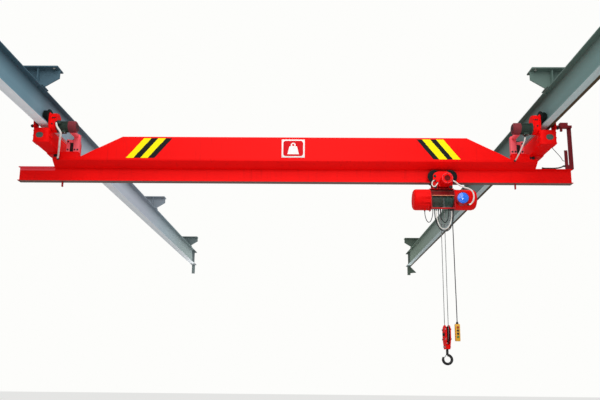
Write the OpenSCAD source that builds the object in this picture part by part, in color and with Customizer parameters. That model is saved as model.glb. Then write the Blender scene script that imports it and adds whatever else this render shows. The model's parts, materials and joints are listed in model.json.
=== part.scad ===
// Underslung overhead travelling crane: a bridge girder that runs below two ceiling beams,
// with a wire rope hoist on a trolley under the girder.
// Millimetres. X runs along the girder, Y along the runway, Z up.
// The origin is the top face of the near left hanger, which bolts to the ceiling steel.

/* [Runway] */
// Distance between the runway beams, centre to centre
span = 6500; // [5000:100:7500]
// Height of a runway beam
beam_h = 400; // [300:10:450]
// Flange width of a runway beam
beam_b = 142; // [120:1:160]
// Height of a hanger, from the beam to the ceiling steel
hanger_h = 260; // [180:10:400]
// Width of a hanger across the beam
hanger_w = 520; // [400:10:600]
// Runway length in front of the girder, as drawn
near_len = 2200; // [1700:50:2800]
// Runway length behind the girder, as drawn
far_len = 9850; // [9200:50:10500]

/* [Girder] */
// How far the lower beam runs past each runway beam's centre
overhang = 495; // [350:5:800]
// Height of the lower beam
rail_h = 200; // [180:10:250]
// Flange width of the lower beam
rail_b = 100; // [90:1:120]
// Width of the folded box above the lower beam
box_w = 280; // [220:10:360]
// Thickness of the box plates
box_t = 6; // [4:1:10]
// Length of the taper at each end of the box
taper = 592; // [500:10:800]

/* [Carriages] */
// Half the length of a carriage
carriage_l = 520; // [450:10:700]
// Width of a carriage box
carriage_w = 184; // [170:2:200]
// Height of a carriage box
carriage_h = 192; // [150:2:220]
// Radius of a carriage wheel's tread
wheel_r = 85; // [70:1:100]
// Radius of a travel motor's body
motor_r = 71; // [60:1:90]

/* [Hoist] */
// Trolley position along the girder, from its middle
trolley_x = 1995; // [-2500:5:2500]
// Outer radius of the hoist's body
hoist_r = 141; // [120:1:160]
// Radius of the bare rope drum
drum_r = 93; // [80:1:100]
// Radius of a trolley wheel's tread
trolley_r = 68; // [60:1:72]
// Distance between the trolley's axles
trolley_base = 212; // [190:2:240]
// Length of rope from the drum's axis down to the hook block's pulley
rope_l = 1798; // [800:2:4000]
// Radius of the wire rope
rope_r = 4.5; // [3:0.5:6]

/* [Hidden] */
half = span / 2;
rail_end = half + overhang;
beam_t = 16.5;
beam_web = 10.5;
rail_t = 11.4;
rail_web = 7;
box_h = 594;
z_rail = -615;
z_flange = z_rail + rail_t;
z_rail_top = z_rail + rail_h;
z_top = z_rail + box_h;
z_end = z_rail + 295;
z_knee = z_rail_top + 59;
z_lip = z_rail_top - 15;
z_box = -60 - carriage_h;
z_hole = z_box + carriage_h / 2;
stand_z = z_end + 83;
wheel_y = carriage_l - 40;
wheel_z = beam_t + wheel_r + 0.4;
rim_r = wheel_r + 13;
plate_x = carriage_w / 2;
motor_y = 90 - carriage_l;
case_z = wheel_z - 10;
motor_z = case_z - 104;
case_x = half - plate_x - 8;
case_w = 92;
motor_x = case_x - case_w;
terminal_z = motor_z - motor_r - 16;
trolley_z = z_flange + trolley_r + 0.4;
trolley_rim = trolley_r + 24;
plate_y = rail_b / 2 + 22;
hoist_z = z_rail - 86 - hoist_r;
rod_z = z_rail - 75;
rod_x = trolley_base / 2 - 5;
drive_z = z_rail - 15;
rail_low = hoist_z - hoist_r - 22;
block_z = hoist_z - rope_l;
rope_y = drum_r + rope_r + 0.5;
cap_x = 234;
cap_z = hoist_z - 22;
gland_y = -hoist_r - 10;
gland_z = cap_z - 84;
hanger_y = [-690, 4950, 8900];

// Free cords and clipped leads: the points of each route. Those of the hoist start from the trolley's
// middle, those of the drives from their runway beam, and the last from the lower beam's right end.
pendant_path = [[112, -66, -1005], [112, -66, -1060], [113, -67, -1190], [114, -68, -1330],
    [115, -69, -1480], [116, -69, -1630], [117, -70, -1790], [118, -70, -1950], [120, -70, -2110],
    [121, -70, -2250], [122, -70, -2360], [122, -70, -2430], [122, -70, -2480]];
loop_wide = [[-134, -134, -1005], [-134, -134, -1035], [-133, -134, -1085], [-127, -134, -1140],
    [-113, -134, -1195], [-90, -134, -1246], [-57, -134, -1284], [-19, -134, -1302], [19, -134, -1300],
    [53, -134, -1276], [79, -134, -1234], [97, -134, -1180], [106, -134, -1125], [110, -134, -1080],
    [110, -134, -1035], [110, -134, -1005]];
loop_white = [[-112, -134, -1005], [-112, -134, -1040], [-110, -134, -1095], [-102, -134, -1155],
    [-84, -134, -1215], [-56, -134, -1260], [-18, -134, -1276], [20, -134, -1268], [52, -134, -1230],
    [74, -134, -1170], [87, -134, -1100], [90, -134, -1045], [90, -134, -1005]];
loop_mid = [[-86, -134, -1005], [-86, -134, -1035], [-84, -134, -1080], [-76, -134, -1130],
    [-61, -134, -1180], [-38, -134, -1220], [-10, -134, -1236], [18, -134, -1228], [41, -134, -1196],
    [57, -134, -1150], [67, -134, -1100], [71, -134, -1060], [72, -134, -1030], [72, -134, -1005]];
loop_inner = [[-60, -134, -1005], [-60, -134, -1040], [-57, -134, -1085], [-47, -134, -1130],
    [-31, -134, -1168], [-8, -134, -1188], [14, -134, -1178], [31, -134, -1145], [42, -134, -1100],
    [49, -134, -1050], [50, -134, -1005]];
loop_small = [[-245, -40, -1000], [-245, -40, -1018], [-245, -42, -1045], [-242, -48, -1080],
    [-235, -58, -1120], [-223, -72, -1155], [-207, -88, -1174], [-190, -104, -1168], [-175, -118, -1138],
    [-165, -128, -1098], [-159, -133, -1056], [-158, -134, -1025], [-158, -134, -1005]];
motor_lead = [[-115, -82, -600], [-115, -96, -600], [-127, -110, -606], [-145, -124, -624],
    [-157, -134, -652], [-155, -140, -684], [-137, -142, -700], [-113, -142, -692], [-95, -140, -670],
    [-85, -136, -652], [-84, -130, -642], [-84, -116, -642]];
hoist_lead = [[100, -128, -613], [117, -128, -613], [147, -140, -634], [195, -166, -686],
    [255, -184, -724], [325, -192, -752], [361, -192, -792], [373, gland_y - 36, gland_z + 100],
    [368, gland_y - 28, gland_z + 56], [352, gland_y - 16, gland_z + 22], [326, gland_y - 4, gland_z + 2],
    [306, gland_y, gland_z], [290, gland_y, gland_z]];
left_lead = [[166, -512, 47], [166, -528, 47], [184, -540, 18], [214, -546, -24], [240, -534, -80],
    [250, -508, -130], [230, -456, -177], [201, -400, -224], [158, -322, -275], [114, -244, -314],
    [88, -190, -334], [80, -164, -338], [80, -140, -338]];
right_lead = [[-265, -440, terminal_z], [-265, -440, terminal_z - 18], [-268, -420, -166],
    [-276, -370, -214], [-288, -300, -268], [-298, -230, -308], [-303, -180, -330],
    [-304, -158, -337], [-304, -140, -337]];
post_lead = [[92, -300, -185], [108, -300, -185], [150, -262, -203], [330, -100, -276],
    [384, -47, -301], [400, -47, -301]];
beam_lead = [[-400, -36, -402], [-375, -36, -402], [-305, -38, -403], [-225, -40, -402],
    [-165, -43, -394], [-125, -46, -380], [-107, -47, -374], [-95, -47, -374]];

// Everything is drawn from the girder's middle at the runway beams' lower face, then moved here.
module in_frame() {
    translate([half, -hanger_y[0], -(beam_h + hanger_h)]) children();
}

module i_section(h, b, t, w) {
    polygon([[-b / 2, 0], [b / 2, 0], [b / 2, t], [w / 2, t], [w / 2, h - t], [b / 2, h - t],
        [b / 2, h], [-b / 2, h], [-b / 2, h - t], [-w / 2, h - t], [-w / 2, t], [-b / 2, t]]);
}

// A plate or block from its low corner to its high corner
module block(a, b) {
    translate(a) cube(b - a);
}

// A block given for the right-hand side and mirrored for the left
module side_block(s, a, b) {
    block([min(s * a[0], s * b[0]), a[1], a[2]], [max(s * a[0], s * b[0]), b[1], b[2]]);
}

module x_rod(x0, x1, y, z, r, n = 48) {
    translate([x0, y, z]) rotate([0, 90, 0]) cylinder(r = r, h = x1 - x0, $fn = n);
}

module side_rod(s, x0, x1, y, z, r, n = 48) {
    x_rod(min(s * x0, s * x1), max(s * x0, s * x1), y, z, r, n);
}

module y_rod(y0, y1, x, z, r, n = 48) {
    translate([x, y1, z]) rotate([90, 0, 0]) cylinder(r = r, h = y1 - y0, $fn = n);
}

// A plate drawn in the X-Z plane, between two Y positions
module y_plate(y0, y1, points) {
    translate([0, y1, 0]) rotate([90, 0, 0]) linear_extrude(y1 - y0) polygon(points);
}

// A turned body along X, given as [x, radius] points from one end to the other
module x_turned(points, n = 56) {
    rotate([0, 90, 0]) rotate_extrude($fn = n)
        polygon(concat([[0, points[0][0]]], [for (p = points) [p[1], p[0]]],
            [[0, points[len(points) - 1][0]]]));
}

// A tube swept through the points of a route. Each ring keeps the side direction of the one before.
function unit(v) = v / norm(v);
function heading(p, i) = unit(p[min(i + 1, len(p) - 1)] - p[max(i - 1, 0)]);
function flat_to(v, t) = unit(v - (v * t) * t);
function side(p, i) = flat_to(i == 0 ? [0.48, 0.6, 0.64] : side(p, i - 1), heading(p, i));
function ring(p, i, r, n) =
    let (s = side(p, i), b = cross(heading(p, i), s))
    [for (k = [0:n - 1]) p[i] + r * (cos(360 * k / n) * s + sin(360 * k / n) * b)];
module tube(p, r, n = 8) {
    m = len(p);
    polyhedron(
        points = [for (i = [0:m - 1]) each ring(p, i, r, n)],
        faces = concat([[for (k = [0:n - 1]) k]],
            [for (i = [0:m - 2]) for (k = [0:n - 1])
                each [[i * n + k, (i + 1) * n + k, i * n + (k + 1) % n],
                    [i * n + (k + 1) % n, (i + 1) * n + k, (i + 1) * n + (k + 1) % n]]],
            [[for (k = [n - 1:-1:0]) (m - 1) * n + k]]));
}

// Runway

module runway_beam(s) {
    in_frame() translate([s * half, far_len, 0]) rotate([90, 0, 0])
        linear_extrude(near_len + far_len) i_section(beam_h, beam_b, beam_t, beam_web);
}

// A hanger is a cross plate on the beam, stiffened, under a plate that bolts to the ceiling steel
module hanger() {
    w = hanger_w / 2;
    difference() {
        block([-w, -90, hanger_h - 16], [w, 90, hanger_h]);
        for (x = [60 - w, w - 60]) for (y = [-50, 50])
            translate([x, y, hanger_h - 20]) cylinder(r = 11, h = 30, $fn = 32);
    }
    y_plate(-6, 6, [[-beam_b / 2, 12], [beam_b / 2, 12], [w, hanger_h - 130], [w, hanger_h - 16],
        [-w, hanger_h - 16], [-w, hanger_h - 130]]);
    block([-6, -70, 12], [6, 70, hanger_h - 16]);
    block([-beam_b / 2 - 14, -90, 0], [beam_b / 2 + 14, 90, 12]);
}

module hangers() color("slategray") in_frame()
    for (s = [-1, 1]) for (y = hanger_y) translate([s * half, y, beam_h]) hanger();

// A stop plate hangs below each end of a beam, with a gusset behind it
module end_stop(y, dir) {
    block([-45, min(y, y + dir * 16), -270], [45, max(y, y + dir * 16), 0]);
    translate([-5, y + dir * 16, 0]) rotate([90, 0, 90])
        linear_extrude(10) polygon([[0, 0], [dir * 80, 0], [0, -200]]);
}

module end_stops() color("slategray") in_frame() {
    for (s = [-1, 1]) translate([s * half, 0, 0]) {
        end_stop(far_len - 100, 1);
        end_stop(100 - near_len, -1);
    }
    translate([half, 0, 0]) y_plate(far_len - 84, far_len - 74, [[20, -6], [45, -6], [225, -190],
        [45, -210], [20, -210]]);
}

module left_runway_beam() color("slategray") runway_beam(-1);
module right_runway_beam() color("slategray") runway_beam(1);

// Girder

module girder_beam() color("red") in_frame()
    translate([-rail_end, 0, z_rail]) rotate([90, 0, 90])
        linear_extrude(2 * rail_end) i_section(rail_h, rail_b, rail_t, rail_web);

// Box section seen along the girder: upright plates, folded in below to the lower beam's flange
module box_section(t) {
    w = box_w / 2 - t;
    b = rail_b / 2;
    polygon([[-w, 50], [w, 50], [w, z_knee + t / 3], [b, z_lip + t * 1.295], [b, z_lip - 30],
        [-b, z_lip - 30], [-b, z_lip + t * 1.295], [-w, z_knee + t / 3]]);
}

// Side view of the box: a flat top that tapers down to both ends
module box_side(t) {
    e = half - t;
    a = [[half - 340, z_end - t], [half - 370, z_end + 12 - t], [half - 420, z_end + 38 - t],
        [half - 500, z_end + 82 - t], [half - 340 - taper, z_top - t]];
    polygon(concat([[-e, z_rail], [e, z_rail], [e, z_end - t]], a,
        [for (i = [4:-1:0]) [-a[i][0], a[i][1]]], [[-e, z_end - t]]));
}

module box_body(t) {
    intersection() {
        translate([-half - 50, 0, 0]) rotate([90, 0, 90]) linear_extrude(span + 100) box_section(t);
        translate([0, box_w, 0]) rotate([90, 0, 0]) linear_extrude(2 * box_w) box_side(t);
    }
}

module girder_box() color("red") in_frame() difference() {
    box_body(0);
    box_body(box_t);
    block([-half - 60, -rail_b / 2, z_rail - 60], [half + 60, rail_b / 2, z_rail_top]);
}

module trolley_stops() color("firebrick") in_frame() for (x = [-half + 95, half - 275])
    block([x, -14, z_rail - 72], [x + 16, 14, z_rail]);

module rating_plate() color("white") in_frame()
    block([-165, -box_w / 2 - 4, z_rail + 307], [145, -box_w / 2, z_top - 32]);

// A saddle carries a carriage on the girder's end, with a pedestal for the travel motor's stand
module saddle(s) {
    edge = half - plate_x - 8;
    far = half - 335;
    side_block(s, [edge, -120, z_box - 12], [half + plate_x, 120, z_box]);
    side_block(s, [edge, -120, z_end], [half, 120, z_end + 10]);
    for (y = [-90, 80]) side_block(s, [edge, y, z_end + 10], [half, y + 10, z_box - 12]);
    side_block(s, [far, -134, z_end], [edge, -50, stand_z - 10]);
    side_block(s, [far - 5, -138, stand_z - 10], [half - 140, -46, stand_z]);
}

module saddles() color("red") in_frame() for (s = [-1, 1]) saddle(s);

// Carriages

module carriage_box(s) {
    w = carriage_w / 2;
    in_frame() translate([s * half, 0, 0]) difference() {
        block([-w, -carriage_l, z_box], [w, carriage_l, z_box + carriage_h]);
        block([-w + 8, -carriage_l + 8, z_box + 8], [w - 8, carriage_l - 8, z_box + carriage_h - 8]);
        for (y = [-carriage_l, carriage_l]) translate([s * 19, y, z_hole]) {
            for (x = [-10, 10]) y_rod(-20, 20, x, 0, 38, 40);
            block([-10, -20, -38], [10, 20, 38]);
        }
    }
}

// A wheel plate stands up beside the runway flange and carries one stub axle
module wheel_plate(out, dir) {
    translate([0, dir * wheel_y, 0]) {
        translate([out > 0 ? plate_x : -plate_x - 8, 0, 0]) rotate([90, 0, 90]) linear_extrude(8)
            polygon([[dir * 38, z_box], [dir * 38, -70], [dir * 60, -50], [dir * 60, 115], [dir * 40, 150],
                [-dir * 40, 150], [-dir * 80, 80], [-dir * 80, z_box]]);
        side_rod(out, 24, plate_x, 0, wheel_z, 14, 40);
        side_rod(out, plate_x + 8, plate_x + 18, 0, wheel_z, 20, 6);
    }
}

// The near inner plates carry the gear cases, so their axle heads are inside those
module plate_set(s) {
    in_frame() translate([s * half, 0, 0]) difference() {
        for (o = [-1, 1]) for (d = [-1, 1]) wheel_plate(o, d);
        side_block(-s, [plate_x + 8, -carriage_l - 60, -200], [plate_x + 30, -100, 200]);
    }
}

module carriage_wheel(out) {
    difference() {
        union() {
            side_rod(out, 22, beam_b / 2 + 6, 0, wheel_z, wheel_r, 56);
            side_rod(out, beam_b / 2 + 6, plate_x - 4, 0, wheel_z, rim_r, 56);
        }
        side_rod(out, 10, plate_x + 10, 0, wheel_z, 15, 40);
        side_rod(out, 10, 32, 0, wheel_z, 46, 40);
    }
}

module wheel_pair(s, dir) {
    in_frame() translate([s * half, dir * wheel_y, 0]) for (o = [-1, 1]) carriage_wheel(o);
}

// Drive: a gear case on the near inner wheel plate, with the motor flanged to it
module gear_case(s) {
    step = case_w - 12;
    for (z = [motor_z, case_z]) {
        side_rod(s, case_x - step, case_x - 10, motor_y, z, 82, 48);
        side_rod(s, motor_x, case_x - step, motor_y, z, 72, 48);
    }
    side_block(s, [case_x - step, motor_y - 82, motor_z], [case_x - 10, motor_y + 82, case_z]);
    side_block(s, [motor_x, motor_y - 72, motor_z], [case_x - step, motor_y + 72, case_z]);
    side_block(s, [case_x - 10, motor_y - 70, motor_z - 50], [case_x, motor_y + 60, case_z + 20]);
}

module travel_motor(s) {
    x = motor_x;
    side_rod(s, x - 14, x, motor_y, motor_z, motor_r + 6, 48);
    side_rod(s, x - 112, x - 14, motor_y, motor_z, motor_r, 48);
    side_rod(s, x - 200, x - 112, motor_y, motor_z, motor_r + 3, 48);
    side_rod(s, x - 210, x - 200, motor_y, motor_z, motor_r - 10, 48);
    side_block(s, [x - 106, motor_y + 40, motor_z - 30], [x - 36, motor_y + motor_r + 8, motor_z + 30]);
    side_block(s, [x - 90, motor_y - 36, terminal_z], [x - 20, motor_y + 24, motor_z - 60]);
}

// Two posts on the saddle's pedestal hold the motor's foot
module motor_stand(s) {
    x = half - 330;
    y = -box_w / 2;
    side_block(s, [x, y + 12, stand_z], [x + 80, y + 72, motor_z + 24]);
    side_block(s, [x + 120, y + 12, stand_z], [x + 180, y + 72, motor_z - 48]);
    side_block(s, [x + 80, y + 30, motor_z - 88], [x + 120, y + 60, motor_z - 48]);
    side_block(s, [x + 15, motor_y + motor_r + 8, motor_z - 20], [x + 75, y + 12, motor_z + 20]);
}

// Current collector on the girder's right end
module collector_post() color("firebrick") in_frame() translate([rail_end, 0, 0]) {
    block([-40, -50, z_rail_top], [20, -44, 205]);
    block([14, -44, z_rail_top], [20, 10, 205]);
    block([-95, -50, z_rail_top], [-50, -44, -150]);
    block([-50, -50, z_rail_top], [-40, -44, z_rail_top + 60]);
}

module collector_arm() color("maroon") in_frame() translate([rail_end, 0, 0]) {
    block([-225, -80, 160], [20, -50, 195]);
    block([-160, -130, 140], [-55, -80, 212]);
    block([-153, -115, 95], [-125, -90, 140]);
}

module carriage_boxes() color("red") for (s = [-1, 1]) carriage_box(s);
module wheel_plates() color("red") for (s = [-1, 1]) plate_set(s);
module gear_cases() color("crimson") in_frame() for (s = [-1, 1]) gear_case(s);
module travel_motors() color("maroon") in_frame() for (s = [-1, 1]) travel_motor(s);
module motor_stands() color("lightcoral") in_frame() for (s = [-1, 1]) motor_stand(s);
module left_front_wheels() color("darkslategray") wheel_pair(-1, -1);
module left_rear_wheels() color("darkslategray") wheel_pair(-1, 1);
module right_front_wheels() color("darkslategray") wheel_pair(1, -1);
module right_rear_wheels() color("darkslategray") wheel_pair(1, 1);

module bridge_leads() color("whitesmoke") in_frame() {
    translate([-half, 0, 0]) tube(left_lead, 12);
    translate([half, 0, 0]) tube(right_lead, 9);
    translate([half, 0, 0]) tube(post_lead, 4);
    translate([rail_end, 0, 0]) tube(beam_lead, 9);
}

// Trolley, drawn from the trolley's middle

module on_trolley() {
    in_frame() translate([trolley_x, 0, 0]) children();
}

module trolley_plates() color("red") on_trolley() {
    w = trolley_base / 2 + 24;
    z = z_rail;
    for (s = [-1, 1]) {
        y_plate(s > 0 ? plate_y : -plate_y - 10, s > 0 ? plate_y + 10 : -plate_y,
            [[-w, z - 5], [-w, z + 95], [24 - w, z + 125], [-60, z + 145], [60, z + 145], [w - 24, z + 125],
                [w, z + 95], [w, z - 5], [w - 4, z - 103], [w - 54, z - 103], [w - 64, z - 49],
                [64 - w, z - 49], [54 - w, z - 103], [4 - w, z - 103]]);
        for (x = [-trolley_base / 2, trolley_base / 2])
            y_rod(s > 0 ? 12 : -plate_y, s > 0 ? plate_y : -12, x, trolley_z, 12, 40);
    }
    for (x = [-rod_x, rod_x]) y_rod(-plate_y, plate_y, x, rod_z, 14, 40);
}

module trolley_wheel(s) {
    difference() {
        union() {
            y_rod(s > 0 ? 10 : -rail_b / 2 - 6, s > 0 ? rail_b / 2 + 6 : -10, 0, trolley_z, trolley_r, 56);
            y_rod(s > 0 ? rail_b / 2 + 6 : 4 - plate_y, s > 0 ? plate_y - 4 : -rail_b / 2 - 6, 0, trolley_z,
                trolley_rim, 56);
        }
        y_rod(-80, 80, 0, trolley_z, 13, 40);
    }
}

module trolley_wheel_pair(x) {
    on_trolley() translate([x, 0, 0]) for (s = [-1, 1]) trolley_wheel(s);
}

module trolley_left_wheels() color("dimgray") trolley_wheel_pair(-trolley_base / 2);
module trolley_right_wheels() color("dimgray") trolley_wheel_pair(trolley_base / 2);

module trolley_motor() color("red") on_trolley() {
    y = -plate_y - 10;
    z = drive_z;
    y_plate(y - 34, y, [[-100, z + 40], [-60, z + 80], [60, z + 80], [100, z + 40], [90, z - 20], [50, z - 58],
        [-50, z - 58], [-90, z - 20]]);
    y_rod(y - 46, y - 34, 11, z, 70, 48);
    y_rod(y - 170, y - 46, 11, z, 66, 48);
    difference() {
        y_rod(y - 208, y - 170, 11, z, 73, 48);
        y_rod(y - 210, y - 196, 11, z, 40, 40);
    }
    block([62, y - 64, z - 2], [100, y - 34, z + 36]);
}

// Hoist, hung from the trolley's two cross rods

module hoist_frame() color("firebrick") on_trolley() {
    block([-178, -70, hoist_z + hoist_r - 11], [145, 70, hoist_z + hoist_r - 3]);
    for (x = [-178, 133]) difference() {
        union() {
            block([x, -hoist_r, rail_low], [x + 12, 0, hoist_z]);
            x_rod(x, x + 12, 0, hoist_z, hoist_r, 56);
        }
        x_rod(x - 1, x + 13, 0, hoist_z, 24.5, 40);
    }
    for (x = [-rod_x, rod_x]) for (y = [-38, 28]) difference() {
        block([x - 26, y, hoist_z + hoist_r - 3], [x + 26, y + 10, rod_z + 18]);
        y_rod(y - 1, y + 11, x, rod_z, 14.3, 40);
    }
    block([-166, -hoist_r, rail_low], [133, 14 - hoist_r, rail_low + 20]);
    block([-166, rope_y + 14, hoist_z - 10], [133, rope_y + 22, hoist_z + 20]);
    block([-20, rope_y + rope_r + 0.3, hoist_z - 10], [20, rope_y + 14, hoist_z + 20]);
    block([95, -84, rail_low], [133, -48, rail_low + 22]);
}

module drum_cover() color("red") on_trolley() difference() {
    x_rod(-166, 133, 0, hoist_z, hoist_r - 13, 56);
    x_rod(-168, 135, 0, hoist_z, hoist_r - 18, 56);
    block([-200, -hoist_r, hoist_z - 300], [200, hoist_r, hoist_z + 28]);
}

// Two rings beside the rope, held to the drum cover
module rope_guide() color("dimgray") on_trolley() {
    for (x = [-48, 42]) difference() {
        x_rod(x, x + 6, 0, hoist_z, hoist_r - 18.6, 56);
        x_rod(x - 1, x + 7, 0, hoist_z, hoist_r - 27, 56);
        block([x - 1, hoist_r - 45, hoist_z - 40], [x + 7, hoist_r, hoist_z + 60]);
    }
    block([-42, -20, hoist_z - hoist_r + 20], [42, 20, hoist_z - hoist_r + 26]);
}

module gearbox_cover() color("red") on_trolley() {
    translate([0, 0, hoist_z]) x_turned([[-392, hoist_r - 42], [-390, hoist_r - 26], [-382, hoist_r - 12],
        [-370, hoist_r - 4], [-354, hoist_r], [-178, hoist_r]]);
    block([-256, -51, rail_low + 5], [-234, -29, hoist_z - hoist_r + 14]);
}

module hoist_housing() color("red") on_trolley() translate([0, 0, hoist_z])
    x_turned([[145, hoist_r], [164, hoist_r], [166, hoist_r - 4], [388, hoist_r - 4], [418, hoist_r - 12],
        [436, hoist_r - 28], [444, hoist_r - 50]]);

module cap_ring() color("crimson") on_trolley() difference() {
    union() {
        y_rod(-hoist_r - 24, -80, cap_x, cap_z, 88, 48);
        x_rod(cap_x + 6, 290, gland_y, gland_z, 12, 32);
    }
    x_rod(140, 420, 0, hoist_z, hoist_r - 3.7, 56);
    x_rod(140, 167, 0, hoist_z, hoist_r + 0.3, 56);
}

module blue_cap() color("dodgerblue") on_trolley() {
    y_rod(-hoist_r - 38, -hoist_r - 24, cap_x, cap_z, 72, 48);
    y_rod(-hoist_r - 50, -hoist_r - 38, cap_x, cap_z, 60, 48);
    y_rod(-hoist_r - 57, -hoist_r - 50, cap_x, cap_z, 40, 48);
}

module trolley_leads() color("whitesmoke") on_trolley() {
    tube(motor_lead, 8);
    tube(hoist_lead, 10);
}

module wide_loop() color("dimgray") on_trolley() tube(loop_wide, 7);
module white_loop() color("whitesmoke") on_trolley() tube(loop_white, 6);
module middle_loop() color("dimgray") on_trolley() tube(loop_mid, 7);
module inner_loop() color("dimgray") on_trolley() tube(loop_inner, 6);
module small_loop() color("dimgray") on_trolley() tube(loop_small, 5);
module pendant_cable() color("dimgray") on_trolley() tube(pendant_path, 6);

// Push button box on the end of the pendant cable
module pendant_station() color("gold") on_trolley() {
    translate(pendant_path[len(pendant_path) - 1]) {
        translate([0, 0, -30]) cylinder(r = 16, h = 30, $fn = 32);
        block([-32, -26, -250], [32, 26, -30]);
        for (z = [-75, -115, -155, -195]) y_rod(-34, -26, 0, z, 12, 32);
    }
}

module rope_drum() color("darkslategray") on_trolley() {
    x_rod(-160, 127, 0, hoist_z, drum_r, 56);
    for (x = [-160, 119]) x_rod(x, x + 8, 0, hoist_z, drum_r + 16, 56);
    x_rod(-175, 142, 0, hoist_z, 24, 40);
}

module rope_falls() color("silver") on_trolley() for (y = [-rope_y, rope_y])
    translate([0, y, block_z]) cylinder(r = rope_r, h = rope_l, $fn = 16);

// Hook block

module block_sheave() color("dimgray") on_trolley() difference() {
    union() {
        x_rod(-14, 14, 0, block_z, drum_r + 0.2, 56);
        for (x = [-14, 8]) x_rod(x, x + 6, 0, block_z, drum_r + 11, 56);
    }
    x_rod(-15, 15, 0, block_z, 14.5, 40);
}

module hook_block() color("red") on_trolley() {
    for (x = [-30, 22]) translate([x, 0, 0]) rotate([90, 0, 90]) linear_extrude(8)
        polygon([[-112, block_z + 56], [-84, block_z + 96], [-40, block_z + 118], [40, block_z + 118],
            [84, block_z + 96], [112, block_z + 56], [112, block_z - 56], [52, block_z - 190],
            [-52, block_z - 190], [-112, block_z - 56]]);
    x_rod(-22, 22, 0, block_z, 14, 40);
    difference() {
        block([-22, -45, block_z - 185], [22, 45, block_z - 130]);
        translate([0, 0, block_z - 190]) cylinder(r = 16.5, h = 80, $fn = 40);
    }
}

module hook() color("dimgray") on_trolley() {
    translate([0, 0, block_z - 262]) cylinder(r = 16, h = 146, $fn = 40);
    translate([0, 0, block_z - 130]) cylinder(r = 20, h = 14, $fn = 6);
    translate([0, 0, block_z - 320]) rotate([90, 0, 0]) rotate([0, 0, 90]) rotate_extrude(angle = -270, $fn = 48)
        translate([56, 0]) circle(r = 17, $fn = 24);
    translate([-56, 0, block_z - 320]) cylinder(r1 = 17, r2 = 8, h = 34, $fn = 24);
}

left_runway_beam();
right_runway_beam();
hangers();
end_stops();
girder_beam();
girder_box();
trolley_stops();
rating_plate();
saddles();
carriage_boxes();
wheel_plates();
gear_cases();
travel_motors();
motor_stands();
collector_post();
collector_arm();
bridge_leads();
left_front_wheels();
left_rear_wheels();
right_front_wheels();
right_rear_wheels();
trolley_plates();
trolley_motor();
hoist_frame();
drum_cover();
rope_guide();
gearbox_cover();
hoist_housing();
cap_ring();
blue_cap();
trolley_leads();
wide_loop();
white_loop();
middle_loop();
inner_loop();
small_loop();
pendant_cable();
pendant_station();
trolley_left_wheels();
trolley_right_wheels();
rope_drum();
rope_falls();
hook_block();
block_sheave();
hook();
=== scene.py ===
# %% [markdown]
# # Dressing an underslung bridge crane
#
# The crane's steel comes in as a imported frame: each CAD node is a mesh at its real place, in metres,
# and each body is an empty that the joints move. This script lights that frame, gives every surface
# its finish and adds the small things that the frame leaves out: bolts, ribs, ropes and cables.

# %% Load the frame
import math

import bpy
from mathutils import Matrix, Vector
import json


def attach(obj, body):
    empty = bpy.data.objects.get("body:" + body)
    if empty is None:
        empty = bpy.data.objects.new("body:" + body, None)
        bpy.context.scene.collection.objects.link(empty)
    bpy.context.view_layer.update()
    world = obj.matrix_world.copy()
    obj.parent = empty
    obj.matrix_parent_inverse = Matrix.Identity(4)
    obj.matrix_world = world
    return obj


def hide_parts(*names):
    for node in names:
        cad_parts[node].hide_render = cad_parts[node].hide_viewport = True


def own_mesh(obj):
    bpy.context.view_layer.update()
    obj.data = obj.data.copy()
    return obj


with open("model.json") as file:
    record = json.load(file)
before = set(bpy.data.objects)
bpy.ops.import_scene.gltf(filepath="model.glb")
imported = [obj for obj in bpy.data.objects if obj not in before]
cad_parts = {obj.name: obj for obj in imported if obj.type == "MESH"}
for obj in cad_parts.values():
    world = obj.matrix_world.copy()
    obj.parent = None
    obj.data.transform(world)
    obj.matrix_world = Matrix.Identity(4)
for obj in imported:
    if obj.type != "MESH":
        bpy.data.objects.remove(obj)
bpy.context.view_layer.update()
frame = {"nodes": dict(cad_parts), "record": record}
body_of_node = {n: b for b, ns in frame["record"]["behaviour"]["bodies"].items() for n in ns}

# %% [markdown]
# The drawing of the crane counts from the middle of the girder, at the lower face of the runway
# beams, in millimetres. The frame counts from the near left hanger, in metres. Two helpers turn the
# drawing's numbers into the frame's, so that a value can be read straight off the drawing. Much of
# the crane is mirrored, so one pair of signs serves for left and right, and for front and back.

# %% Places in millimetres
GIRDER_MIDDLE = Vector((3.25, 0.69, -0.66))
TROLLEY_X = 1995
MIRRORED = (-1, 1)
FRONT, DOWN, UP = (0, -1, 0), (0, 0, -1), (0, 0, 1)


def at(x, y, z):
    """A point of the drawing, in millimetres from the girder's middle."""
    return GIRDER_MIDDLE + Vector((x, y, z)) / 1000


def on_trolley(x, y, z):
    """A point of the drawing, in millimetres from the trolley's middle."""
    return at(x + TROLLEY_X, y, z)


print("trolley middle", on_trolley(0, 0, 0))

# %% [markdown]
# The camera stands on the floor between the runways and looks up by ten degrees. Its place was
# found by matching the drawing's corners with the picture's, for a 35 mm lens.

# %% Camera
def new_object(name, data):
    piece = bpy.data.objects.new(name, data)
    bpy.context.scene.collection.objects.link(piece)
    return piece


PITCH, YAW, ROLL = math.radians(10), math.radians(-0.72), math.radians(0.55)
camera_data = bpy.data.cameras.new("floor_camera")
camera_data.lens = 35
camera_data.sensor_width = 36
camera_data.shift_y = 0.112
camera_data.clip_end = 200
camera = new_object("floor_camera", camera_data)
turn = Matrix.Rotation(-YAW, 4, "Z") @ Matrix.Rotation(math.pi / 2 + PITCH, 4, "X")
camera.matrix_world = Matrix.Translation(at(190, -7580, -3110)) @ turn @ Matrix.Rotation(ROLL, 4, "Z")
bpy.context.scene.camera = camera
print("camera at", camera.matrix_world.translation)

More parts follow.
